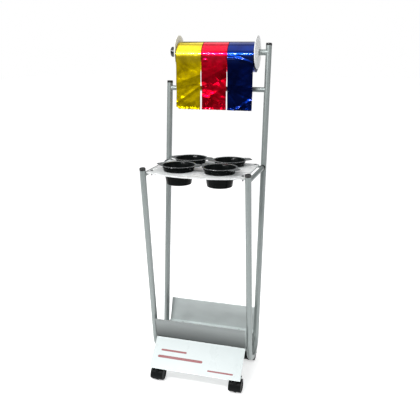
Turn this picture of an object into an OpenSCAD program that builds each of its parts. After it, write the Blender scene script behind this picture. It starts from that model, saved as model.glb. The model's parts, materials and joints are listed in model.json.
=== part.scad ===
// Hair foil trolley: two bent-tube side frames carry a cantilever arm with three rolls of
// hair foil, a clear tray with four tint bowls, and a folded steel base on four castors.
// Millimetres. X runs along the foil arm, -Y is the front, Z = 0 is the floor, and the
// origin is the centre of the footprint.

/* [Side frames] */
// Outside diameter of the frame tubes
tube_d = 22; // [18:1:24]
// Wall thickness of the frame tubes
tube_wall = 1.5; // [1:0.25:2.5]
// Distance between the tube centres of the two side frames
frame_w = 384.6; // [380:0.2:392]
// Radius of the bend at the foot of a side frame
bend_r = 62.1; // [58:0.1:66]
// Height of the bend centre above the floor
bend_z = 148.8; // [147:0.1:152]
// Backward lean of the back uprights, in degrees
back_lean = 5.15; // [4:0.05:6]
// Forward lean of the front legs, in degrees
front_lean = 7.25; // [6:0.05:8]
// Height of the left back upright with its cap
left_top = 1143; // [1120:1:1180]
// Height of the right back upright with its cap
right_top = 1284; // [1280:1:1320]
// Height of the front legs with their caps
leg_top = 854; // [850:1:870]

/* [Foil arm] */
// Height of the arm's centre line
arm_z = 1250; // [1245:1:1255]
// Height of the upper crossbar's centre line
crossbar_z = 1115; // [1100:1:1118]
// Outside diameter of the upper crossbar
crossbar_d = 19; // [16:1:20]
// Diameter of the end discs
disc_d = 122; // [118:1:126]
// Diameter of the end knob
knob_d = 38; // [32:1:42]

/* [Foil rolls] */
// Width of one foil strip
foil_w = 99; // [96:0.5:99]
// Diameter of a full roll
roll_d = 110; // [90:1:110]
// Inside diameter of the cardboard core
core_id = 58; // [56:1:60]
// Wall thickness of the cardboard core
core_wall = 3; // [2:0.5:4]
// Height of the free end of the hanging foil
tail_z = 1039; // [1000:1:1100]

/* [Tray and bowls] */
// Height of the tray's top face
tray_top = 840; // [838:1:842]
// Thickness of the clear tray
tray_t = 5; // [4:0.5:6]
// Width of the tray
tray_w = 360; // [356:1:361]
// How far the front edge bows out beyond the front corners
tray_bow = 44; // [30:1:44]
// Radius of a bowl at its rim
bowl_r = 57.5; // [56:0.5:58]
// Height of a bowl
bowl_h = 71; // [66:1:76]

/* [Base and castors] */
// Width of the folded sheet parts between the side frames
sheet_w = 360.6; // [340:0.2:361]
// Thickness of the base shell
shell_t = 2; // [1.5:0.5:2.5]
// Thickness of the trough
trough_t = 1.5; // [1:0.25:2]
// Diameter of a castor wheel
wheel_d = 50; // [46:1:50]
// Distance between a castor's stem and its wheel axle
trail = 17; // [15:1:19]

/* [Hidden] */
$fn = 64;
gap = 0.3;                 // air between curved faces that turn past each other
run = 0.05;                // radial clearance of a shaft that turns in its hole
snug = 0.1;                // radial clearance of a plug or a pull-off part
tube_r = tube_d / 2;
bore_r = tube_r - tube_wall;
side_x = frame_w / 2;
bend_y = -14.85;           // centre of the bend, front to back
bend_slack = 0.05;         // the tube draws in by this much where it is bent
bend_lap = 1;              // degrees by which the bend runs into the straight tubes
sides = [-1, 1];

cap_h = 9;
cap_plug = 16;
back_foot = [bend_y + bend_r * cos(back_lean), bend_z - bend_r * sin(back_lean)];
front_foot = [bend_y - bend_r * cos(front_lean), bend_z - bend_r * sin(front_lean)];
function back_y(z) = back_foot[0] + (z - back_foot[1]) * tan(back_lean);
function front_y(z) = front_foot[0] - (z - front_foot[1]) * tan(front_lean);
function back_len(top) = (top - cap_h * cos(back_lean) - back_foot[1]) / cos(back_lean);
front_len = (leg_top - cap_h * cos(front_lean) - front_foot[1]) / cos(front_lean);

arm_y = back_y(arm_z);
arm_end = -182;
disc_t = 2.4;
boss_r = 15;
boss_t = 4;
disc_left_x = -154.6;      // inner face of the left disc
disc_right_x = 149.8;      // inner face of the right disc
knob_x = disc_left_x - disc_t - boss_t - gap;
knob_end = -187;

foil_pitch = 100;
foil_x = -152;             // left end of the first roll
colours = ["gold", "red", "blue"];
paints = ["Gold", "Crimson", "MidnightBlue"];
core_r = core_id / 2;
roll_y = arm_y;
roll_z = arm_z - (core_r - tube_r - gap);
wrap_r = roll_d / 2 + 0.4; // inside of the loose outer turn
tail_t = 1;

rail_d = 16;
rail_wall = 1.5;
tray_under = tray_top - tray_t;
rail_z = tray_under - rail_d / 2;
tray_back = 95;
tray_front = tray_bow - arm_y - disc_d / 2;    // its bow reaches as far forward as the discs reach back
lug_t = 3;
lug_y = [-140, 75];
screw_x = 168;
screw_r = 2.5;
bowl_x = 76.5;
bowl_y = [-106, 38];
bowl_seat = tray_top + 0.2;
bowl_foot = bowl_seat + 22 - bowl_h;
hole_r = 53.5;

lip_z = 65;
deck_z = 156;
deck_y = [-93, 66];
foot_y = [-180, 137];
lip_w = 40;
trough_top = [[-111, 239], [93, 243]];
hem_r = 2.2;
tie_r = 8;
tie_z = deck_z - shell_t - tie_r;
tie_y = [front_y(tie_z), back_y(tie_z)];
tie_screw_x = 120;
sign_t = 2;
sign_margin = 2;

castor_x = 157;
castor_names = ["front_left", "front_right", "rear_left", "rear_right"];
castor_pos = [[-castor_x, -163], [castor_x, -163], [-castor_x, 119], [castor_x, 119]];
castor_turn = [1, 1, -1, -1];
wheel_r = wheel_d / 2;
wheel_w = 18.5;
wheel_in = 5.5;            // inner face of a wheel from the castor's middle
axle_r = 3;
stem_r = 4;
neck_r = 9;
neck_top = 60;
neck_z = 44;
hood_in = wheel_r + 1.2;
hood_out = wheel_r + 3;

// ---- helpers ----

// Places children so that their X and Y are the object's Y and Z, and Z its X.
module side_view() {
    rotate([90, 0, 90]) children();
}

// Solid rod along X.
module rod_x(x0, x1, y, z, r) {
    translate([x0, y, z]) rotate([0, 90, 0]) cylinder(h = x1 - x0, r = r);
}

function unit(v) = v / norm(v);
function left_of(a, b) = let(d = unit(b - a)) [-d[1], d[0]];
function normal_before(p, i) = i > 0 ? left_of(p[i - 1], p[i]) : left_of(p[0], p[1]);
function normal_after(p, i) = i < len(p) - 1 ? left_of(p[i], p[i + 1]) : normal_before(p, i);
function shifted(p, i, t) =
    let(a = normal_before(p, i), b = normal_after(p, i)) p[i] + t * (a + b) / (1 + a * b);
function sheet_outline(p, t) = concat(p, [for (i = [len(p) - 1:-1:0]) shifted(p, i, t)]);

// Folded sheet: the line p seen from the side, with thickness t to its left.
module folded_sheet(p, t, w) {
    translate([-w / 2, 0, 0]) side_view() linear_extrude(height = w)
        polygon(sheet_outline(p, t));
}

// ---- side frames ----

// One side frame as a rod of radius r, without its caps.
module frame_rod(r, back_top) {
    translate([0, back_foot[0], back_foot[1]]) rotate([-back_lean, 0, 0])
        cylinder(h = back_len(back_top), r = r);
    translate([0, front_foot[0], front_foot[1]]) rotate([front_lean, 0, 0])
        cylinder(h = front_len, r = r);
    translate([0, bend_y, bend_z]) side_view() rotate([0, 0, 180 + front_lean - bend_lap])
        rotate_extrude(angle = 180 - front_lean - back_lean + 2 * bend_lap)
            translate([bend_r, 0]) circle(r = r - bend_slack);
}

function top_of(side) = side < 0 ? left_top : right_top;

module frame_solid(side) {
    translate([side * side_x, 0, 0]) frame_rod(tube_r, top_of(side));
}

module side_frame(side) {
    color("Silver") translate([side * side_x, 0, 0]) difference() {
        frame_rod(tube_r, top_of(side));
        frame_rod(bore_r, top_of(side));
    }
}

// Push-in end cap with a rounded head, sitting on the tube's end face.
module cap_shape() {
    edge = 3;
    head_r = tube_r + 0.3;
    color("Black") rotate_extrude() polygon(concat(
        [[0, -cap_plug], [bore_r - snug, -cap_plug], [bore_r - snug, 0], [head_r, 0]],
        [for (a = [0:15:90]) [head_r - edge + edge * cos(a), cap_h - edge + edge * sin(a)]],
        [[0, cap_h]]));
}

module cap_back(side) {
    translate([side * side_x, back_foot[0], back_foot[1]]) rotate([-back_lean, 0, 0])
        translate([0, 0, back_len(top_of(side))]) cap_shape();
}

module cap_front(side) {
    translate([side * side_x, front_foot[0], front_foot[1]]) rotate([front_lean, 0, 0])
        translate([0, 0, front_len]) cap_shape();
}

// ---- rails, crossbar and ties between the tubes ----

module rail_lug(side, y) {
    depth = 30;
    translate([side * (side_x - 5), y, tray_under - lug_t]) mirror([side > 0 ? 1 : 0, 0, 0])
        translate([0, -12, 0]) cube([depth, 24, lug_t]);
}

module tray_rail(side) {
    color("Silver") difference() {
        union() {
            difference() {
                translate([side * side_x, front_y(rail_z), rail_z]) rotate([-90, 0, 0])
                    cylinder(h = back_y(rail_z) - front_y(rail_z), r = rail_d / 2);
                translate([side * side_x, front_y(rail_z), rail_z]) rotate([-90, 0, 0])
                    cylinder(h = back_y(rail_z) - front_y(rail_z), r = rail_d / 2 - rail_wall);
            }
            for (y = lug_y) rail_lug(side, y);
        }
        frame_solid(side);
        for (y = lug_y) translate([side * screw_x, y, tray_under - 2 * lug_t])
            cylinder(h = 3 * lug_t, r = screw_r);
    }
}

// Tube along X welded between the two side frames.
module cross_tube(y, z, r) {
    difference() {
        rod_x(-side_x, side_x, y, z, r);
        rod_x(-side_x, side_x, y, z, r - tube_wall);
        for (s = sides) frame_solid(s);
    }
}

module upper_crossbar() {
    color("Silver") cross_tube(back_y(crossbar_z), crossbar_z, crossbar_d / 2);
}

module base_tie(y) {
    color("Silver") difference() {
        cross_tube(y, tie_z, tie_r);
        for (s = sides) base_screw_hole(s, y);
    }
}

// ---- foil arm ----

module roller_arm() {
    color("Silver") difference() {
        rod_x(arm_end, side_x, arm_y, arm_z, tube_r);
        rod_x(arm_end - 1, side_x, arm_y, arm_z, bore_r);
        frame_solid(1);
        grub_screw_shape(0.05);
    }
}

module end_knob() {
    knob_r = knob_d / 2;
    edge = 4;
    length = knob_x - knob_end;
    color("Black") translate([knob_x, arm_y, arm_z]) rotate([0, -90, 0]) difference() {
        rotate_extrude() polygon(concat(
            [[0, 0], [knob_r, 0]],
            [for (a = [0:15:90]) [knob_r - edge + edge * cos(a), length - edge + edge * sin(a)]],
            [[0, length]]));
        translate([0, 0, -1]) cylinder(h = knob_x - arm_end + 1.5, r = tube_r + snug);
    }
}

// End disc with a boss on its outer face; out is -1 or 1.
module disc_shape(x, out, bore) {
    color("WhiteSmoke") difference() {
        union() {
            rod_x(min(x, x + out * disc_t), max(x, x + out * disc_t), arm_y, arm_z, disc_d / 2);
            rod_x(min(x + out * disc_t, x + out * (disc_t + boss_t)),
                  max(x + out * disc_t, x + out * (disc_t + boss_t)), arm_y, arm_z, boss_r);
        }
        rod_x(x - 10, x + 10, arm_y, arm_z, bore);
    }
}

// Headless screw that holds the right disc's boss on the arm.
module grub_screw_shape(extra) {
    translate([disc_right_x + disc_t + boss_t / 2, arm_y, arm_z - boss_r])
        cylinder(h = boss_r - bore_r + 0.5, r = 1.5 + extra);
}

module disc_left() {
    disc_shape(disc_left_x, -1, tube_r + snug);
}

module disc_right() {
    difference() {
        disc_shape(disc_right_x, 1, tube_r);
        grub_screw_shape(0.05);
    }
}

module disc_grub_screw() {
    color("DimGray") grub_screw_shape(0);
}

// ---- foil rolls ----

function roll_x(i) = foil_x + i * foil_pitch;

module foil_core(i) {
    color("Tan") difference() {
        rod_x(roll_x(i), roll_x(i) + foil_w, roll_y, roll_z, core_r + core_wall);
        rod_x(roll_x(i) - 1, roll_x(i) + foil_w + 1, roll_y, roll_z, core_r);
    }
}

module foil_roll(i) {
    color(paints[i]) difference() {
        rod_x(roll_x(i), roll_x(i) + foil_w, roll_y, roll_z, roll_d / 2);
        rod_x(roll_x(i) - 1, roll_x(i) + foil_w + 1, roll_y, roll_z, core_r + core_wall);
    }
}

// Loose outer turn over the top of the roll, and the strip that hangs from it in front.
module foil_tail(i) {
    wrap = 125;
    color(paints[i]) translate([roll_x(i) + 0.5, roll_y, roll_z]) side_view() union() {
        linear_extrude(height = foil_w - 1) difference() {
            circle(r = wrap_r + tail_t, $fn = 128);
            circle(r = wrap_r, $fn = 128);
            translate([-2 * roll_d, -4 * roll_d]) square(4 * roll_d);
            rotate(180 - wrap) translate([0, -4 * roll_d]) square(4 * roll_d);
        }
        translate([-wrap_r - tail_t, tail_z - roll_z, 0])
            cube([tail_t, roll_z - tail_z, foil_w - 1]);
    }
}

// ---- tray and bowls ----

module tray_outline() {
    half = tray_w / 2;
    bow_r = (half * half + tray_bow * tray_bow) / (2 * tray_bow);
    corner = 12;
    intersection() {
        translate([0, tray_front - tray_bow + bow_r]) circle(r = bow_r, $fn = 256);
        union() {
            translate([-half, tray_front - tray_bow])
                square([tray_w, tray_back - corner - tray_front + tray_bow]);
            translate([-half + corner, tray_front]) square([tray_w - 2 * corner, tray_back - tray_front]);
            for (s = sides) translate([s * (half - corner), tray_back - corner]) circle(r = corner);
        }
    }
}

module tray() {
    color("Gainsboro", 0.5) translate([0, 0, tray_under]) difference() {
        linear_extrude(height = tray_t) tray_outline();
        for (s = sides) {
            for (y = bowl_y) translate([s * bowl_x, y, -1]) cylinder(h = tray_t + 2, r = hole_r);
            for (y = lug_y) translate([s * screw_x, y, -1]) cylinder(h = tray_t + 2, r = screw_r);
        }
    }
}

module at_tray_screws() {
    for (s = sides) for (y = lug_y) translate([s * screw_x, y, 0]) children();
}

module tray_screws() {
    color("DimGray") at_tray_screws() {
        translate([0, 0, tray_top]) cylinder(h = 3, r = 4.7);
        translate([0, 0, tray_under - lug_t - 9]) cylinder(h = lug_t + tray_t + 9.5, r = screw_r);
    }
}

module tray_nuts() {
    color("Silver") at_tray_screws() translate([0, 0, tray_under - lug_t - 4]) difference() {
        cylinder(h = 4, r = 4.6, $fn = 6);
        translate([0, 0, -1]) cylinder(h = 6, r = screw_r);
    }
}

// Tapered tint bowl with a shoulder that rests on the tray, a flat rim, a spout and a handle.
module bowl(x, y, handle_angle) {
    wall = 2.2;
    top = bowl_foot + bowl_h;
    foot_r = 45.5;
    waist_r = 52.4;
    rim_r = 66;
    inset = 0.1;           // handle and spout are this much thinner than the rim, above and below
    color("Black", 0.9) translate([x, y, 0]) difference() {
        union() {
            rotate_extrude($fn = 96) polygon([
                [0, bowl_foot], [foot_r, bowl_foot], [waist_r, bowl_seat],
                [waist_r + 2.8, bowl_seat], [bowl_r, top - 4], [rim_r, top - wall],
                [rim_r, top], [0, top]]);
            translate([0, 0, top - wall + inset]) rotate([0, 0, handle_angle])
                linear_extrude(height = wall - 2 * inset) {
                    polygon([[60, -19.3], [76, -14], [84, -8], [84, 8], [76, 14], [60, 19.3]]);
                    polygon([
                        [-46.8, -42], [-82, -7], [-86, -3], [-86, 3], [-82, 7], [-46.8, 42],
                        [-56, 26], [-61.5, 0], [-56, -26]]);
                }
        }
        rotate_extrude($fn = 96) polygon([
            [0, bowl_foot + wall], [foot_r - wall, bowl_foot + wall], [waist_r - wall, bowl_seat + 2],
            [bowl_r - wall, top - 4], [bowl_r, top + 1], [0, top + 1]]);
    }
}

// ---- sheet-metal base ----

module base_screw_hole(s, y) {
    translate([s * tie_screw_x, y, tie_z + 3]) cylinder(h = 20, r = 2);
}

module base_screw_holes() {
    for (s = sides) for (y = tie_y) base_screw_hole(s, y);
}

// Open channel with splayed sides and rolled top edges.
module trough() {
    color("Silver") difference() {
        union() {
            folded_sheet([trough_top[0], [deck_y[0], deck_z], [deck_y[1], deck_z], trough_top[1]],
                         trough_t, sheet_w);
            for (p = trough_top) rod_x(-sheet_w / 2, sheet_w / 2, p[0], p[1], hem_r);
        }
        base_screw_holes();
    }
}

// Folded hat section: deck, two slopes and two foot flanges for the castors.
module base_shell() {
    color("Silver") difference() {
        folded_sheet([[foot_y[0] + lip_w, lip_z], [foot_y[0], lip_z], [deck_y[0], deck_z],
                      [deck_y[1], deck_z], [foot_y[1], lip_z], [foot_y[1] - lip_w, lip_z]],
                     -shell_t, sheet_w);
        base_screw_holes();
        for (p = castor_pos) translate([p[0], p[1], lip_z - 1]) cylinder(h = shell_t + 2, r = stem_r);
    }
}

// Printed panel on the front slope of the base shell.
module sign_panel() {
    slope = [deck_y[0] - foot_y[0], deck_z - lip_z];
    up = unit(slope);
    start = [foot_y[0], lip_z] + sign_margin * up;
    finish = [deck_y[0], deck_z] - sign_margin * up;
    color("White") folded_sheet([start, finish], sign_t, sheet_w);
}

module base_screws() {
    floor_z = deck_z + trough_t;
    color("DimGray") for (s = sides) for (y = tie_y) translate([s * tie_screw_x, y, 0]) {
        translate([0, 0, floor_z]) cylinder(h = 2.4, r = 4);
        translate([0, 0, tie_z + 4]) cylinder(h = floor_z - tie_z - 3.5, r = 2);
    }
}

// ---- castors ----

module castor_nuts() {
    color("Silver") for (p = castor_pos) translate([p[0], p[1], lip_z + shell_t]) difference() {
        cylinder(h = 6, r = 7.2, $fn = 6);
        translate([0, 0, -1]) cylinder(h = 8, r = stem_r);
    }
}

// Threaded stem with a shoulder under the foot flange; the fork turns on its lower end.
module castor_stem(i) {
    shoulder = 0.4;
    color("Silver") translate([castor_pos[i][0], castor_pos[i][1], 0]) {
        translate([0, 0, 51.5]) cylinder(h = lip_z + shell_t + 9 - 51.5, r = stem_r);
        translate([0, 0, neck_top + shoulder]) cylinder(h = lip_z - neck_top - shoulder, r = 6.5);
    }
}

// Children are drawn about the wheel axle, with +Y pointing away from the stem.
module at_axle(i) {
    translate([castor_pos[i][0], castor_pos[i][1] + castor_turn[i] * trail, wheel_r]) children();
}

module castor_fork(i) {
    hood_half = wheel_in + wheel_w + 0.5;
    web_half = wheel_in - 1;
    flip = castor_turn[i];
    hood_from = flip > 0 ? 40 : -40;
    color("Black") difference() {
        union() {
            at_axle(i) side_view() {
                rotate([0, 0, flip > 0 ? 40 : -20]) rotate_extrude(angle = 160, $fn = 96)
                    translate([hood_in, -hood_half]) square([hood_out - hood_in, 2 * hood_half]);
                translate([0, 0, -web_half]) cylinder(h = 2 * web_half, r = hood_in + 0.6, $fn = 96);
            }
            difference() {
                translate([castor_pos[i][0], castor_pos[i][1], neck_z])
                    cylinder(h = neck_top - neck_z, r = neck_r);
                at_axle(i) rotate([0, 90, 0]) cylinder(h = 60, r = hood_in + 1, center = true);
            }
        }
        translate([castor_pos[i][0], castor_pos[i][1], 51]) cylinder(h = 20, r = stem_r + run);
        at_axle(i) rotate([0, 90, 0]) cylinder(h = 40, r = axle_r, center = true);
        at_axle(i) translate([0, 0, -wheel_r - 10]) cube([60, 120, 24], center = true);
    }
}

module castor_axle(i) {
    color("Silver") at_axle(i) rotate([0, 90, 0])
        cylinder(h = 2 * (wheel_in + wheel_w - 5), r = axle_r, center = true);
}

// One wheel; s is the side it is on, with a rounded tread and a dished outer face.
module wheel(i, s) {
    edge = 2.5;
    color("Black") at_axle(i) rotate([0, s * 90, 0]) translate([0, 0, wheel_in]) difference() {
        rotate_extrude($fn = 96) polygon(concat(
            [[0, 0]],
            [for (a = [-90:15:0]) [wheel_r - edge + edge * cos(a), edge + edge * sin(a)]],
            [for (a = [0:15:90]) [wheel_r - edge + edge * cos(a), wheel_w - edge + edge * sin(a)]],
            [[17, wheel_w], [15.5, wheel_w - 2], [0, wheel_w - 2]]));
        translate([0, 0, -1]) cylinder(h = wheel_w - 3, r = axle_r + run);
    }
}

// ---- drawing ----

side_frame(-1);  // side_frame_left
side_frame(1);  // side_frame_right
cap_front(-1);  // cap_front_left
cap_front(1);  // cap_front_right
cap_back(-1);  // cap_back_left
cap_back(1);  // cap_back_right
tray_rail(-1);  // tray_rail_left
tray_rail(1);  // tray_rail_right
upper_crossbar();
base_tie(tie_y[0]);  // base_tie_front
base_tie(tie_y[1]);  // base_tie_rear
roller_arm();
end_knob();
disc_left();
disc_right();
disc_grub_screw();
for (i = [0:2]) {
    foil_core(i);
    foil_roll(i);
    foil_tail(i);
}
tray();
tray_screws();
tray_nuts();
bowl(-bowl_x, bowl_y[0], 0);  // bowl_front_left
bowl(bowl_x, bowl_y[0], -28);  // bowl_front_right
bowl(-bowl_x, bowl_y[1], 0);  // bowl_back_left
bowl(bowl_x, bowl_y[1], 28);  // bowl_back_right
trough();
base_shell();
sign_panel();
base_screws();
castor_nuts();
for (i = [0:3]) {
    castor_stem(i);
    castor_fork(i);
    castor_axle(i);
    wheel(i, -sign(castor_pos[i][0]));
    wheel(i, sign(castor_pos[i][0]));
}
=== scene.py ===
import json
import math
import random
import bmesh
import bpy
from mathutils import Matrix, Vector, noise


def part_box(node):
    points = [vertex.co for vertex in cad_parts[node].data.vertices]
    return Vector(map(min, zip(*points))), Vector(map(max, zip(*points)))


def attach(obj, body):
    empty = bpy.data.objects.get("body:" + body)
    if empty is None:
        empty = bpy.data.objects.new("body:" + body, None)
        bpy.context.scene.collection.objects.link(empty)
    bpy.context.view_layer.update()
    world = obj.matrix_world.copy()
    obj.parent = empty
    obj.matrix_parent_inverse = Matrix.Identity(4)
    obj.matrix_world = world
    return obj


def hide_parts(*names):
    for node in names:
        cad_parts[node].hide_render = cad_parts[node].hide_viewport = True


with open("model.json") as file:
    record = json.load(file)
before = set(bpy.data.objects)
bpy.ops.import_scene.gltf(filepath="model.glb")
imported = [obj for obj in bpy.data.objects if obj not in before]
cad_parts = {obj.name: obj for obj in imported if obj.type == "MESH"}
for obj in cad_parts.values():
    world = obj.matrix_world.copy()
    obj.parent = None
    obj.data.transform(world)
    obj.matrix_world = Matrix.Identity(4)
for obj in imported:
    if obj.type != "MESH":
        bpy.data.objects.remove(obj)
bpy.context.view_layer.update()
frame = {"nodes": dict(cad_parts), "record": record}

NODES = frame["nodes"]
scene = bpy.context.scene
scene.view_settings.view_transform = "Standard"


# ---- node helpers, for materials and the world ----

SOCKETS = {"rough": "Roughness", "metal": "Metallic", "spec": "Specular IOR Level", "ior": "IOR",
           "coat": "Coat Weight", "coat_rough": "Coat Roughness", "through": "Transmission Weight"}


def material(name):
    mat = bpy.data.materials.new(name)
    mat.use_nodes = True
    return mat


def bsdf(mat):
    return mat.node_tree.nodes["Principled BSDF"]


def set_values(mat, **values):
    for key, value in values.items():
        bsdf(mat).inputs[SOCKETS[key]].default_value = value


def coordinates(owner, kind):
    """The X, Y and Z sockets of one kind of texture coordinate."""
    tree = owner.node_tree
    coord = tree.nodes.new("ShaderNodeTexCoord")
    split = tree.nodes.new("ShaderNodeSeparateXYZ")
    tree.links.new(coord.outputs[kind], split.inputs[0])
    return split.outputs


def object_noise(mat, scale, detail=3.0, stretch=(1, 1, 1), rough=0.55):
    tree = mat.node_tree
    coord = tree.nodes.new("ShaderNodeTexCoord")
    mapping = tree.nodes.new("ShaderNodeMapping")
    texture = tree.nodes.new("ShaderNodeTexNoise")
    mapping.inputs["Scale"].default_value = stretch
    texture.inputs["Scale"].default_value = scale
    texture.inputs["Detail"].default_value = detail
    texture.inputs["Roughness"].default_value = rough
    tree.links.new(coord.outputs["Object"], mapping.inputs[0])
    tree.links.new(mapping.outputs[0], texture.inputs["Vector"])
    return texture.outputs["Fac"]


def ramp(owner, socket, stops):
    """A colour for each value of the socket; each stop is a position and a colour."""
    tree = owner.node_tree
    node = tree.nodes.new("ShaderNodeValToRGB")
    tree.links.new(socket, node.inputs[0])
    elements = node.color_ramp.elements
    for element, (position, colour) in ((elements[0], stops[0]), (elements[1], stops[-1])):
        element.position = position
        element.color = (*colour, 1)
    for position, colour in stops[1:-1]:
        elements.new(position).color = (*colour, 1)
    return node.outputs[0]


def to_range(owner, socket, low, high, low_in=0.3, high_in=0.7):
    """Low at low_in and below, high at high_in and above, and a straight line between them."""
    tree = owner.node_tree
    node = tree.nodes.new("ShaderNodeMapRange")
    for key, value in (("From Min", low_in), ("From Max", high_in), ("To Min", low), ("To Max", high)):
        node.inputs[key].default_value = value
    tree.links.new(socket, node.inputs["Value"])
    return node.outputs[0]


def bump(mat, socket, strength, distance):
    tree = mat.node_tree
    node = tree.nodes.new("ShaderNodeBump")
    node.inputs["Strength"].default_value = strength
    node.inputs["Distance"].default_value = distance
    tree.links.new(socket, node.inputs["Height"])
    tree.links.new(node.outputs[0], bsdf(mat).inputs["Normal"])


def drive(mat, key, socket):
    mat.node_tree.links.new(socket, bsdf(mat).inputs[key])


# ---- camera, lights, world and floor ----

CAMERA_PLACE = (0.5945, -2.0348, 1.2671)
CAMERA_YAW = math.radians(16.015)
CAMERA_PITCH = math.radians(15.764)
CAMERA_ROLL = math.radians(0.16)
CAMERA_LENS = 49.37

# name, place, point aimed at, width, height, watts
LIGHTS = [
    ("key", (-1.9, -2.3, 2.9), (0, 0, 0.8), 1.6, 1.6, 20),
    ("fill", (2.6, -1.4, 1.6), (0, 0, 0.7), 1.2, 1.2, 5),
    ("top", (0.2, 1.6, 3.4), (0, 0.3, 0.4), 2.4, 1.6, 14),
    ("softbox", (0.0, -0.50, 3.33), (0, 0.147, 1.23), 2.8, 1.9, 18),
    ("strip", (-0.65, -2.03, 2.26), (-0.03, 0.147, 1.23), 1.1, 0.03, 40),
]

# the room's grey from straight down (0) to straight up (1)
ROOM_STOPS = [
    (0.0, (0.2, 0.2, 0.205)),
    (0.36, (0.22, 0.22, 0.2222)),
    (0.47, (0.34, 0.34, 0.3434)),
    (0.56, (0.46, 0.46, 0.4646)),
    (0.78, (0.66, 0.66, 0.6666)),
    (1.0, (0.8, 0.8, 0.8)),
]

FLOOR_SIDE = 14
FLOOR_NEAR = -1.6
FLOOR_FAR = 24


def make_camera():
    data = bpy.data.cameras.new("camera")
    data.sensor_width = 36.0
    data.lens = CAMERA_LENS
    data.clip_end = 60.0
    cam = bpy.data.objects.new("camera", data)
    scene.collection.objects.link(cam)
    turn = Matrix.Rotation(CAMERA_YAW, 4, "Z") @ Matrix.Rotation(math.pi / 2 - CAMERA_PITCH, 4, "X")
    turn = turn @ Matrix.Rotation(CAMERA_ROLL, 4, "Z")
    cam.matrix_world = Matrix.Translation(CAMERA_PLACE) @ turn
    scene.camera = cam


def area_light(name, place, target, width, height, watts):
    data = bpy.data.lights.new(name, "AREA")
    data.shape = "RECTANGLE"
    data.size = width
    data.size_y = height
    data.energy = watts
    lamp = bpy.data.objects.new(name, data)
    lamp.visible_camera = False
    scene.collection.objects.link(lamp)
    aim = (Vector(target) - Vector(place)).to_track_quat("-Z", "Y")
    lamp.matrix_world = Matrix.Translation(place) @ aim.to_matrix().to_4x4()


def make_world():
    """White to the camera; to all other rays a room that is darker below and towards the back."""
    world = bpy.data.worlds.new("studio")
    scene.world = world
    world.use_nodes = True
    tree = world.node_tree
    tree.nodes.clear()
    out = tree.nodes.new("ShaderNodeOutputWorld")
    plain = tree.nodes.new("ShaderNodeBackground")
    room = tree.nodes.new("ShaderNodeBackground")
    mix = tree.nodes.new("ShaderNodeMixShader")
    path = tree.nodes.new("ShaderNodeLightPath")
    plain.inputs["Color"].default_value = (1.0, 1.0, 1.0, 1)
    direction = coordinates(world, "Generated")
    height = to_range(world, direction["Z"], 0.0, 1.0, -1.0, 1.0)
    depth = to_range(world, direction["Y"], 1.15, 0.35, -0.4, 0.8)
    tree.links.new(ramp(world, height, ROOM_STOPS), room.inputs["Color"])
    tree.links.new(depth, room.inputs["Strength"])
    tree.links.new(path.outputs["Is Camera Ray"], mix.inputs[0])
    tree.links.new(room.outputs[0], mix.inputs[1])
    tree.links.new(plain.outputs[0], mix.inputs[2])
    tree.links.new(mix.outputs[0], out.inputs[0])


def make_floor():
    corners = [(-FLOOR_SIDE, FLOOR_NEAR, 0), (FLOOR_SIDE, FLOOR_NEAR, 0),
               (FLOOR_SIDE, FLOOR_FAR, 0), (-FLOOR_SIDE, FLOOR_FAR, 0)]
    mesh = bpy.data.meshes.new("floor")
    mesh.from_pydata(corners, [], [(0, 1, 2, 3)])
    floor = bpy.data.objects.new("floor", mesh)
    scene.collection.objects.link(floor)
    paper = material("floor_paper")
    set_values(paper, rough=0.9, spec=0.1)
    bsdf(paper).inputs["Base Color"].default_value = (0.93, 0.93, 0.93, 1)
    bsdf(paper).inputs["Emission Color"].default_value = (1, 1, 1, 1)
    bsdf(paper).inputs["Emission Strength"].default_value = 0.5
    mesh.materials.append(paper)


# ---- materials ----

MATS = {}

# light and dark tone of each foil on the roll, then light and dark tone of the painted shade on its
# hanging part
FOILS = {
    "gold": ((0.76, 0.60, 0.02), (0.66, 0.49, 0.01), (0.80, 0.59, 0.0), (0.52, 0.37, 0.0)),
    "red": ((0.74, 0.0, 0.030), (0.58, 0.0, 0.020), (0.72, 0.0, 0.018), (0.36, 0.0, 0.005)),
    "blue": ((0.0, 0.020, 0.18), (0.0, 0.011, 0.12), (0.0, 0.006, 0.08), (0.0, 0.003, 0.038)),
}

# the height below which a strip has the painted shade of its hanging part in full
PAINTED_SHADE_Z = 1.205


def shade(colour, factor):
    return tuple(min(1.0, part * factor) for part in colour)


def mottled(name, colour, spread=0.06, scale=60.0, rough=(0.35, 0.45), grain=0.0, grain_scale=900.0,
            stretch=(1, 1, 1), **values):
    """One colour with a slight unevenness, and a fine grain where it is asked for."""
    mat = material(name)
    set_values(mat, **values)
    patches = object_noise(mat, scale, stretch=stretch)
    stops = [(0.3, shade(colour, 1 - spread)), (0.7, shade(colour, 1 + spread))]
    drive(mat, "Base Color", ramp(mat, patches, stops))
    drive(mat, "Roughness", to_range(mat, patches, *rough))
    if grain:
        bump(mat, object_noise(mat, grain_scale, detail=2.0), grain, 0.0002)
    return mat


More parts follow.
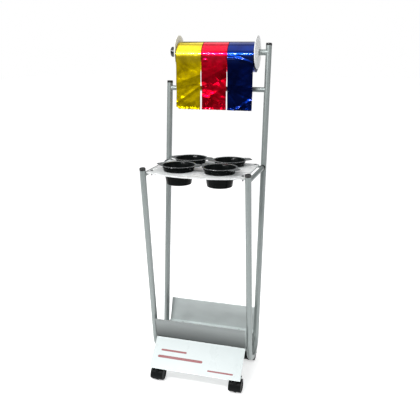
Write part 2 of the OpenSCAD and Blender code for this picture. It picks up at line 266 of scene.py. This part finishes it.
def foil_material(name, light, dark, painted_shade_hang_light=None, painted_shade_hang_dark=None):
    """Coloured metal foil; a strip passes from the roll's tone to painted shade on the hanging part
    below the roll.
    """
    mat = material(name)
    set_values(mat, metal=1.0, coat=0.22, coat_rough=0.025)
    patches = object_noise(mat, 26.0, detail=4.0)
    tone = ramp(mat, patches, [(0.35, dark), (0.62, light)])
    if painted_shade_hang_light:
        tree = mat.node_tree
        height = coordinates(mat, "Object")["Z"]
        # painted shade: the hanging part below the roll takes its own, mostly darker tones
        painted_shade_hang_tone = ramp(mat, patches, [(0.35, painted_shade_hang_dark), (0.62, painted_shade_hang_light)])
        # a colour mix: inputs 6 and 7 are its two colours, output 2 is the result
        mix = tree.nodes.new("ShaderNodeMix")
        mix.data_type = "RGBA"
        tree.links.new(to_range(mat, height, 0.0, 1.0, PAINTED_SHADE_Z, PAINTED_SHADE_Z + 0.050), mix.inputs[0])
        tree.links.new(painted_shade_hang_tone, mix.inputs[6])
        tree.links.new(tone, mix.inputs[7])
        tone = mix.outputs[2]
        drive(mat, "Coat Weight", to_range(mat, height, 0.06, 0.36, PAINTED_SHADE_Z, PAINTED_SHADE_Z + 0.035))
    drive(mat, "Base Color", tone)
    drive(mat, "Roughness", to_range(mat, object_noise(mat, 90.0), 0.15, 0.23))
    bump(mat, object_noise(mat, 55.0, detail=4.0, rough=0.6), 0.07, 0.0007)
    return mat


def trough_material():
    """Silver coat, with painted shade that darkens the front panel towards its fold, and painted light
    that makes the back panel a little brighter.
    """
    mat = material("powder_coat_trough_painted_shade")
    set_values(mat, metal=0.55, spec=0.5)
    tree = mat.node_tree
    place = coordinates(mat, "Object")
    # painted shade: the front panel's colour darkens towards its fold
    painted_fold_shade = to_range(mat, place["Z"], 0.14, 0.45, 0.156, 0.225)
    behind_front = to_range(mat, place["Y"], 0.0, 1.0, -0.092, -0.088)
    # painted light: the back panel's colour is made a little brighter
    back = to_range(mat, place["Y"], 0.84, 1.08, 0.0, 0.06)
    patches = object_noise(mat, 9.0, stretch=(1, 3, 3))
    base = ramp(mat, patches, [(0.3, (0.48, 0.52, 0.515)), (0.7, (0.54, 0.585, 0.58))])
    # a number mix: inputs 2 and 3 are its two numbers
    pick = tree.nodes.new("ShaderNodeMix")
    pick.data_type = "FLOAT"
    tree.links.new(behind_front, pick.inputs[0])
    tree.links.new(painted_fold_shade, pick.inputs[2])
    tree.links.new(back, pick.inputs[3])
    scaled = tree.nodes.new("ShaderNodeVectorMath")
    scaled.operation = "SCALE"
    tree.links.new(base, scaled.inputs[0])
    tree.links.new(pick.outputs[0], scaled.inputs["Scale"])
    drive(mat, "Base Color", scaled.outputs[0])
    drive(mat, "Roughness", to_range(mat, patches, 0.34, 0.42))
    bump(mat, object_noise(mat, 900.0, detail=2.0), 0.05, 0.0002)
    return mat


def make_materials():
    MATS["tube"] = mottled("powder_coat_tube", (0.26, 0.29, 0.286), spread=0.02, rough=(0.36, 0.42),
                           metal=0.55, spec=0.5)
    MATS["sheet"] = mottled("powder_coat_sheet", (0.40, 0.435, 0.43), spread=0.05, scale=9.0,
                            rough=(0.34, 0.42), metal=0.6, grain=0.05, stretch=(1, 3, 3), spec=0.5)
    MATS["trough"] = trough_material()
    MATS["sign"] = mottled("sign_face", (0.52, 0.575, 0.575), spread=0.012, scale=14.0,
                           rough=(0.25, 0.32), spec=0.4, grain=0.05)
    MATS["marks"] = mottled("sign_print", (0.21, 0.015, 0.022), spread=0.1, scale=200.0,
                            rough=(0.3, 0.4))
    MATS["cap"] = mottled("gloss_black", (0.012, 0.013, 0.013), spread=0.2, rough=(0.14, 0.2),
                          spec=0.55, grain=0.05)
    MATS["castor"] = mottled("castor_black", (0.005, 0.006, 0.006), spread=0.25, scale=120.0,
                             rough=(0.34, 0.46), grain=0.2, grain_scale=1500.0, spec=0.07)
    MATS["disc"] = mottled("disc_white", (0.80, 0.81, 0.80), spread=0.02, scale=18.0,
                           rough=(0.5, 0.6), spec=0.3, grain=0.08)
    MATS["card"] = mottled("card", (0.42, 0.33, 0.23), spread=0.12, scale=140.0, rough=(0.8, 0.9),
                           grain=0.5)
    MATS["screw"] = mottled("screw_steel", (0.20, 0.21, 0.21), spread=0.1, rough=(0.3, 0.4), metal=1.0)
    MATS["nut"] = mottled("zinc", (0.50, 0.52, 0.52), spread=0.1, rough=(0.3, 0.42), metal=1.0,
                          grain=0.2)
    MATS["tray"] = mottled("frosted_acrylic", (0.90, 0.92, 0.92), spread=0.03, scale=7.0,
                           rough=(0.22, 0.34), through=0.35, ior=1.49, stretch=(0.6, 2.0, 1.0),
                           grain=0.1)
    MATS["bowl"] = mottled("smoke_plastic", (0.002, 0.003, 0.003), spread=0.3, scale=40.0,
                           rough=(0.08, 0.14), spec=0.05, grain=0.03)
    MATS["brim"] = mottled("smoke_brim", (0.30, 0.32, 0.32), spread=0.15, scale=30.0,
                           rough=(0.10, 0.16), through=0.7, ior=1.5, spec=0.6)
    for name, tones in FOILS.items():
        MATS["foil_" + name] = foil_material("foil_" + name, *tones[:2])
        # the strips carry painted shade on their hanging part
        MATS["strip_" + name] = foil_material("strip_" + name, *tones)


# ---- mesh helper ----

def piece(name, verts, faces, mats, body, smooth=40.0, face_mats=None):
    mesh = bpy.data.meshes.new(name)
    mesh.from_pydata([tuple(v) for v in verts], [], faces)
    for mat in mats:
        mesh.materials.append(MATS[mat])
    if face_mats:
        mesh.polygons.foreach_set("material_index", face_mats)
    bm = bmesh.new()
    bm.from_mesh(mesh)
    bmesh.ops.remove_doubles(bm, verts=bm.verts, dist=1e-6)
    bmesh.ops.recalc_face_normals(bm, faces=bm.faces)
    bm.to_mesh(mesh)
    bm.free()
    mesh.update()
    obj = bpy.data.objects.new(name, mesh)
    scene.collection.objects.link(obj)
    if smooth:
        mesh.shade_smooth()
        mesh.set_sharp_from_angle(angle=math.radians(smooth))
    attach(obj, body)
    return obj


# ---- foil strips ----

ROLL_RADIUS = 0.0554
FOIL_GAP = 0.0006
FOIL_THICKNESS = 0.0002
WRAP = math.radians(125)
CELLS_ACROSS = 84
CELLS_ALONG = 230
CREASES = 46
FIRST_FOOT_CREASE = 28
# from this part of the hanging length on, the foot flares
FLARE_FROM = 0.955
# how far the corner lifts, and from which part of the hanging length on
CORNER_LIFT = 0.010
CORNER_FROM = 0.85


def make_creases(seed, width, drop):
    """Short straight creases scattered over the hanging part, finer and steeper along its foot."""
    rng = random.Random(seed)
    creases = []
    for k in range(CREASES):
        if k >= FIRST_FOOT_CREASE:
            z = drop * (1 - 0.13 * rng.random() ** 1.3)
            turn = rng.uniform(1.1, 2.0)
            reach = rng.uniform(0.010, 0.022)
            soft = rng.uniform(0.0025, 0.0055)
            depth = rng.uniform(0.0008, 0.0018)
        else:
            z = drop * rng.uniform(0.12, 0.95)
            turn = rng.uniform(0.0, math.pi)
            reach = rng.uniform(0.022, 0.060)
            soft = rng.uniform(0.006, 0.018)
            depth = rng.uniform(0.0009, 0.0024) * (0.35 + 0.8 * z / drop)
        x = rng.uniform(-0.5, 0.5) * width
        side = rng.choice((-1, 1))
        creases.append((x, z, math.cos(turn), math.sin(turn), reach, soft, depth * side))
    return creases


def crumple(x, z, creases):
    """Height of all the creases at a point; z is measured down from the roll's axis."""
    height = 0.0
    for crease_x, crease_z, cos_turn, sin_turn, reach, soft, depth in creases:
        dx = x - crease_x
        dz = z - crease_z
        along = abs(dx * cos_turn + dz * sin_turn)
        across = abs(dx * sin_turn - dz * cos_turn)
        if along < reach and across < soft:
            height += depth * (1 - across / soft) * (1 - along / reach)
    return height


def folded(x, z, folds):
    """Height of the long folds that run over the whole width."""
    height = 0.0
    for fold_x, fold_z, slope, depth, soft in folds:
        gap = z - fold_z - slope * (x - fold_x)
        height += depth * max(0.0, 1 - abs(gap) / soft)
    return height


def dented(x, z, dents):
    """Height of the curved dents, which may lie on the roll too; z is negative there."""
    height = 0.0
    for dent_x, dent_z, reach, soft, depth, bow in dents:
        dx = x - dent_x
        gap = z - dent_z - bow * dx ** 2
        height += depth * max(0.0, 1 - abs(gap) / soft) * max(0.0, 1 - abs(dx) / reach)
    return height


def foil_strip(colour, seed, rough, folds, dents=(), corner=0.0):
    """A strip that lies over the roll's top and hangs down in front.

    Corner is the part of its width, from the left, over which the foot lifts.
    """
    lo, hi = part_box("foil_tail_" + colour)
    roll_lo, roll_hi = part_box("foil_roll_" + colour)
    axis_y = (roll_lo.y + roll_hi.y) / 2
    axis_z = (roll_lo.z + roll_hi.z) / 2
    middle = (lo.x + hi.x) / 2
    width = hi.x - lo.x
    radius = ROLL_RADIUS + FOIL_GAP
    arc = radius * WRAP
    drop = axis_z - lo.z
    length = arc + drop
    creases = make_creases(seed, width, drop)
    verts = []
    for j in range(CELLS_ALONG + 1):
        below = length * j / CELLS_ALONG - arc
        hang = max(0.0, below)
        part = hang / drop
        grow = min(1.0, hang / 0.05)
        narrow = 1.0 - 0.03 * part
        if below < 0:
            angle = math.pi + below / radius
            normal = Vector((0, math.cos(angle), math.sin(angle)))
            base = Vector((0, axis_y, axis_z)) + normal * radius
        else:
            normal = Vector((0, -1, 0))
            base = Vector((0, axis_y - radius, axis_z - hang))
        for i in range(CELLS_ACROSS + 1):
            u = i / CELLS_ACROSS - 0.5
            x = u * width
            height = dented(x, below, dents)
            if hang > 0:
                height += grow * (rough * crumple(x, hang, creases) + folded(x, hang, folds))
                height += 0.0035 * math.sin(part * 3.0 + seed) * part
                edge = max(0.0, abs(u) * 2 - 0.82) / 0.18
                phase = seed * 2 + (3 if u > 0 else 0)
                height += 0.0018 * edge * edge * part * math.sin(hang * 60 + phase)
            point = base + normal * height
            point.x = middle + x * narrow
            if corner and u < corner - 0.5:
                near = 1 - (u + 0.5) / corner
                point.z += near * CORNER_LIFT * max(0.0, (part - CORNER_FROM) / (1 - CORNER_FROM))
            if part > FLARE_FROM:
                flare = (part - FLARE_FROM) / (1 - FLARE_FROM)
                push = 0.55 + 0.9 * noise.noise(Vector((u * 13, seed, 5.0)))
                point.y -= 0.0034 * flare * max(0.0, push)
                point.z += 0.0012 * flare * noise.noise(Vector((u * 22, seed, 1.0)))
            verts.append(point)
    row = CELLS_ACROSS + 1
    corners = [j * row + i for j in range(CELLS_ALONG) for i in range(CELLS_ACROSS)]
    faces = [(a, a + 1, a + row + 1, a + row) for a in corners]
    obj = piece("strip_" + colour, verts, faces, ["strip_" + colour], "stand", smooth=24.0)
    solid = obj.modifiers.new("thickness", "SOLIDIFY")
    solid.thickness = FOIL_THICKNESS
    solid.offset = -1.0
    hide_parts("foil_tail_" + colour)


def foil_strips():
    # a fold: x, distance down, slope, depth, half width
    # a dent: x, distance down, reach, half width, depth, bow
    foil_strip("gold", 11, 0.45, corner=0.12,
               folds=[(0.0, 0.080, -0.35, 0.0022, 0.030), (-0.01, 0.145, -0.7, 0.0014, 0.013)])
    foil_strip("red", 26, 1.0,
               folds=[(0.0, 0.096, -0.50, -0.0056, 0.036), (0.01, 0.160, 0.3, 0.0016, 0.012)],
               dents=[(-0.034, 0.010, 0.012, 0.006, 0.0016, 30.0)])
    foil_strip("blue", 41, 0.6,
               folds=[(0.03, 0.165, -0.6, 0.0024, 0.012), (-0.02, 0.10, 0.15, 0.0012, 0.02)],
               dents=[(-0.04, 0.002, 0.16, 0.008, 0.0028, 2.6)])


# ---- bowls ----

# handle angle of each bowl, in degrees from the right
BOWLS = {"bowl_front_left": 0, "bowl_front_right": -28, "bowl_back_left": 0, "bowl_back_right": 28}
BOWL_X = 0.0765
BOWL_SIDES = 144
BRIM_RADIUS = 0.0640
HANDLE_REACH = 0.0860
RIBS = 24
RIB_DEPTH = 0.0009
# the rings of the inside wall that the ribs cross
RIBBED_RINGS = (3, 4, 5)


def brim_reach(angle):
    """Outer edge of the brim: a circle with a handle at angle 0 and a pointed spout opposite."""
    angle = (angle + math.pi) % (2 * math.pi) - math.pi
    x = math.cos(angle)
    off = abs(math.sin(angle))
    if x > 0 and off < 0.36:
        edge = 0.084 - max(0.0, off - 0.2) * 0.11
        return max(BRIM_RADIUS, min(edge / x, HANDLE_REACH))
    if x < 0:
        from_tip = math.pi - abs(angle)
        return max(BRIM_RADIUS, HANDLE_REACH - 0.024 * min(1.0, from_tip / 0.75) ** 0.75)
    return BRIM_RADIUS


def bowl(name, handle_angle):
    lo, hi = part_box(name)
    foot = lo.z
    top = hi.z
    # the round of the brim reaches furthest to the front and the back, so the axis is midway
    axis_y = (lo.y + hi.y) / 2
    axis_x = math.copysign(BOWL_X, (lo.x + hi.x) / 2)
    # radius and height of each ring, from the middle of the foot up to the brim
    outside = [(0.0, foot), (0.0425, foot), (0.0452, foot + 0.0015), (0.0462, foot + 0.004),
               (0.0524, foot + 0.0485), (0.0545, foot + 0.0492), (0.0552, foot + 0.0505),
               (0.0560, top - 0.0105), (0.0585, top - 0.0095), (0.0590, top - 0.0080),
               (0.0578, top - 0.0065), (0.0592, top - 0.0028)]
    # the brim's own rings: distance in from its outer edge, and height
    brim = [(0.001, top - 0.0022), (0.0, top - 0.0014), (0.0006, top - 0.0002)]
    # from the brim down to the middle of the floor
    inside = [(0.0600, top - 0.0002), (0.0575, top - 0.0012), (0.0552, top - 0.0040),
              (0.0540, top - 0.0150), (0.0508, foot + 0.0500), (0.0440, foot + 0.0055),
              (0.0425, foot + 0.0030), (0.0, foot + 0.0024)]
    turn = math.radians(handle_angle)
    angles = [2 * math.pi * i / BOWL_SIDES for i in range(BOWL_SIDES)]
    rings = [[(r, z) for _ in angles] for r, z in outside]
    rings += [[(brim_reach(a - turn) - back, z) for a in angles] for back, z in brim]
    for k, (r, z) in enumerate(inside):
        depth = RIB_DEPTH if k in RIBBED_RINGS else 0.0
        rings.append([(r - depth * max(0.0, math.cos(a * RIBS)) ** 3, z) for a in angles])
    verts = [(axis_x + r * math.cos(a), axis_y + r * math.sin(a), z)
             for ring in rings for a, (r, z) in zip(angles, ring)]
    faces = []
    face_mats = []
    first_brim = len(outside) - 1
    last_brim = first_brim + len(brim) + 1
    for k in range(len(rings) - 1):
        for i in range(BOWL_SIDES):
            a = k * BOWL_SIDES + i
            b = k * BOWL_SIDES + (i + 1) % BOWL_SIDES
            if k == 0:
                faces.append((a, b + BOWL_SIDES, a + BOWL_SIDES))
            elif k == len(rings) - 2:
                faces.append((a, b, a + BOWL_SIDES))
            else:
                faces.append((a, b, b + BOWL_SIDES, a + BOWL_SIDES))
            face_mats.append(1 if first_brim <= k <= last_brim else 0)
    obj = piece("body_" + name, verts, faces, ["bowl", "brim"], name, smooth=38.0, face_mats=face_mats)
    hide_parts(name)


# ---- marks on the white panel ----

# left end, distance up the panel, length and height of each bar
BARS = [(-0.146, 0.073, 0.097, 0.0075), (-0.153, 0.047, 0.172, 0.0100), (0.052, 0.018, 0.095, 0.0060)]
BAR_STEPS = 10
BAR_PROUD = 0.00015
# the panel's run to the back and its rise, and the height of its lower front edge in its box
PANEL_SLOPE = (0, 0.0872, 0.0910)
PANEL_EDGE = 0.0014


def sign_marks():
    """Plain red bars with round ends, sunk halfway into the panel's outer face."""
    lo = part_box("sign_panel")[0]
    run = Vector(PANEL_SLOPE).normalized()
    out = Vector((0, -run.z, run.y))
    start = Vector((0, lo.y, lo.z + PANEL_EDGE))
    for k, (left, up, length, height) in enumerate(BARS):
        verts = []
        for side in (-1, 1):
            end = left + (length if side > 0 else 0)
            for i in range(BAR_STEPS + 1):
                a = -math.pi / 2 + math.pi * i / BAR_STEPS
                x = end + side * height / 2 * math.cos(a)
                s = up + side * height / 2 * math.sin(a)
                verts.append(start + run * s + Vector((x, 0, 0)) + out * BAR_PROUD)
        count = len(verts)
        verts += [v - out * 2 * BAR_PROUD for v in verts]
        faces = [tuple(range(count)), tuple(range(2 * count - 1, count - 1, -1))]
        faces += [(i, (i + 1) % count, (i + 1) % count + count, i + count) for i in range(count)]
        obj = piece("sign_bar_%d" % (k + 1), verts, faces, ["marks"], "stand", smooth=0)


# ---- plastic collars where the rails meet the back uprights ----

COLLAR_X = 0.1923
COLLAR_SIDES = 40
# from the top and the back of the rail's box to the middle of the collar's back face
COLLAR_DOWN = 0.008
COLLAR_FORWARD = 0.0085
# radius, and distance along the rail from the collar's back face
COLLAR_PROFILE = [(0.0081, 0.0), (0.0100, 0.0), (0.0112, -0.0012), (0.0112, -0.0088),
                  (0.0104, -0.0100), (0.0081, -0.0100)]


def rail_collars():
    angles = [2 * math.pi * i / COLLAR_SIDES for i in range(COLLAR_SIDES)]
    rings = len(COLLAR_PROFILE)
    for side in ("left", "right"):
        lo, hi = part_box("tray_rail_" + side)
        x = math.copysign(COLLAR_X, hi.x + lo.x)
        y = hi.y - COLLAR_FORWARD
        z = hi.z - COLLAR_DOWN
        verts = [(x + r * math.cos(a), y + along, z + r * math.sin(a))
                 for r, along in COLLAR_PROFILE for a in angles]
        faces = []
        for k in range(rings):
            here = k * COLLAR_SIDES
            there = (k + 1) % rings * COLLAR_SIDES
            for i in range(COLLAR_SIDES):
                after = (i + 1) % COLLAR_SIDES
                faces.append((here + i, here + after, there + after, there + i))
        obj = piece("rail_collar_" + side, verts, faces, ["cap"], "stand")


# ---- nodes shown as they are in the CAD ----

def dress_nodes():
    slots = {part["node"]: part["material_slot"] for part in frame["record"]["subparts"]}
    slots["base_screws"] = "sheet"
    slots["trough"] = "trough"
    for name, node in NODES.items():
        node.data.materials.clear()
        node.data.materials.append(MATS[slots[name]])


make_camera()
make_world()
make_floor()
make_materials()
for light in LIGHTS:
    area_light(*light)
dress_nodes()
foil_strips()
for bowl_name, bowl_angle in BOWLS.items():
    bowl(bowl_name, bowl_angle)
sign_marks()
rail_collars()
